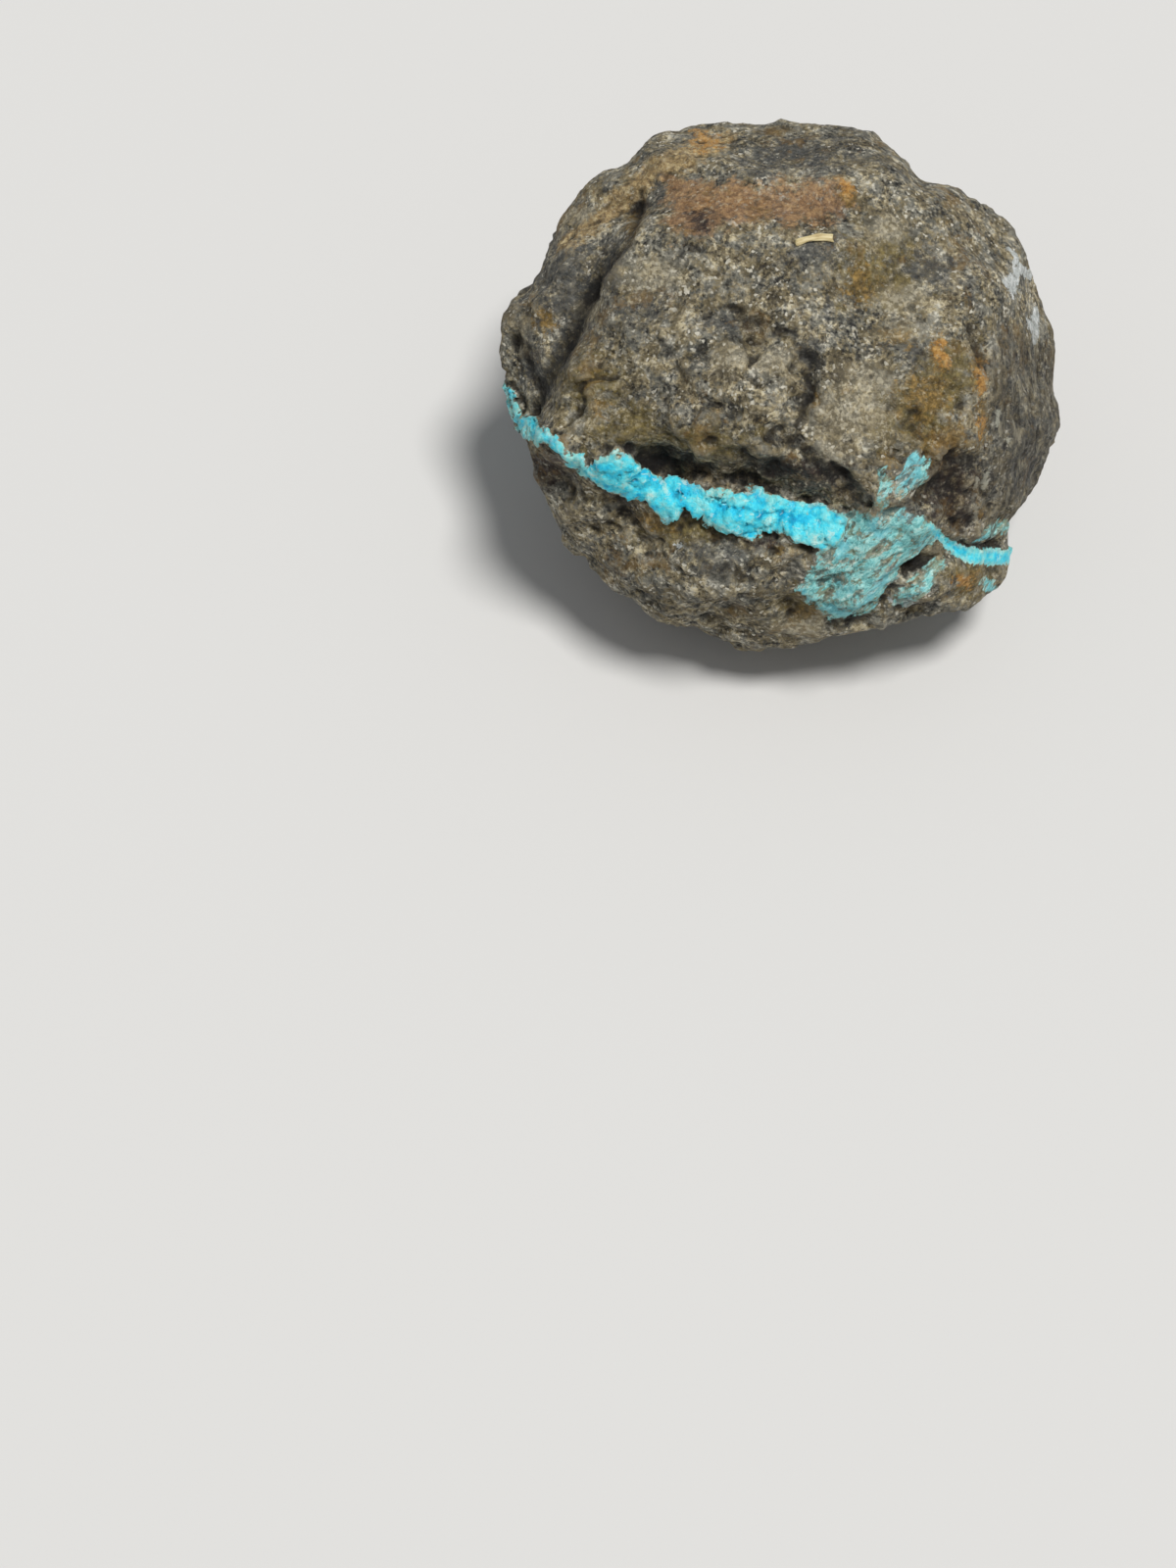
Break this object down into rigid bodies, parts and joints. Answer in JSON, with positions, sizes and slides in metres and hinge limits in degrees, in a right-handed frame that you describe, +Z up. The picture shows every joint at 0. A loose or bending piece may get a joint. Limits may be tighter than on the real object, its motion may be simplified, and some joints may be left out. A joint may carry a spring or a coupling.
{
  "type": "raw turquoise nugget",
  "caption": "Rough turquoise nugget: weathered brown host rock with a bright blue seam across its face, resting on a flat of its base.",
  "frame": {"origin": "on the surface that the stone lies on, below the middle of its bounding box", "axes": "+Z up; +X along the stone's greatest width; -Y towards the side that the seamed face looks to"},
  "size_m": [0.0703, 0.0623, 0.0561],
  "materials": {
    "stone": "weathered matt host rock, grey-brown with ochre stains, and a waxy sky-blue turquoise seam with a muted blue-green patch"
  },
  "bodies": {
    "root": {"nugget": "stone"}
  },
  "joints": []
}
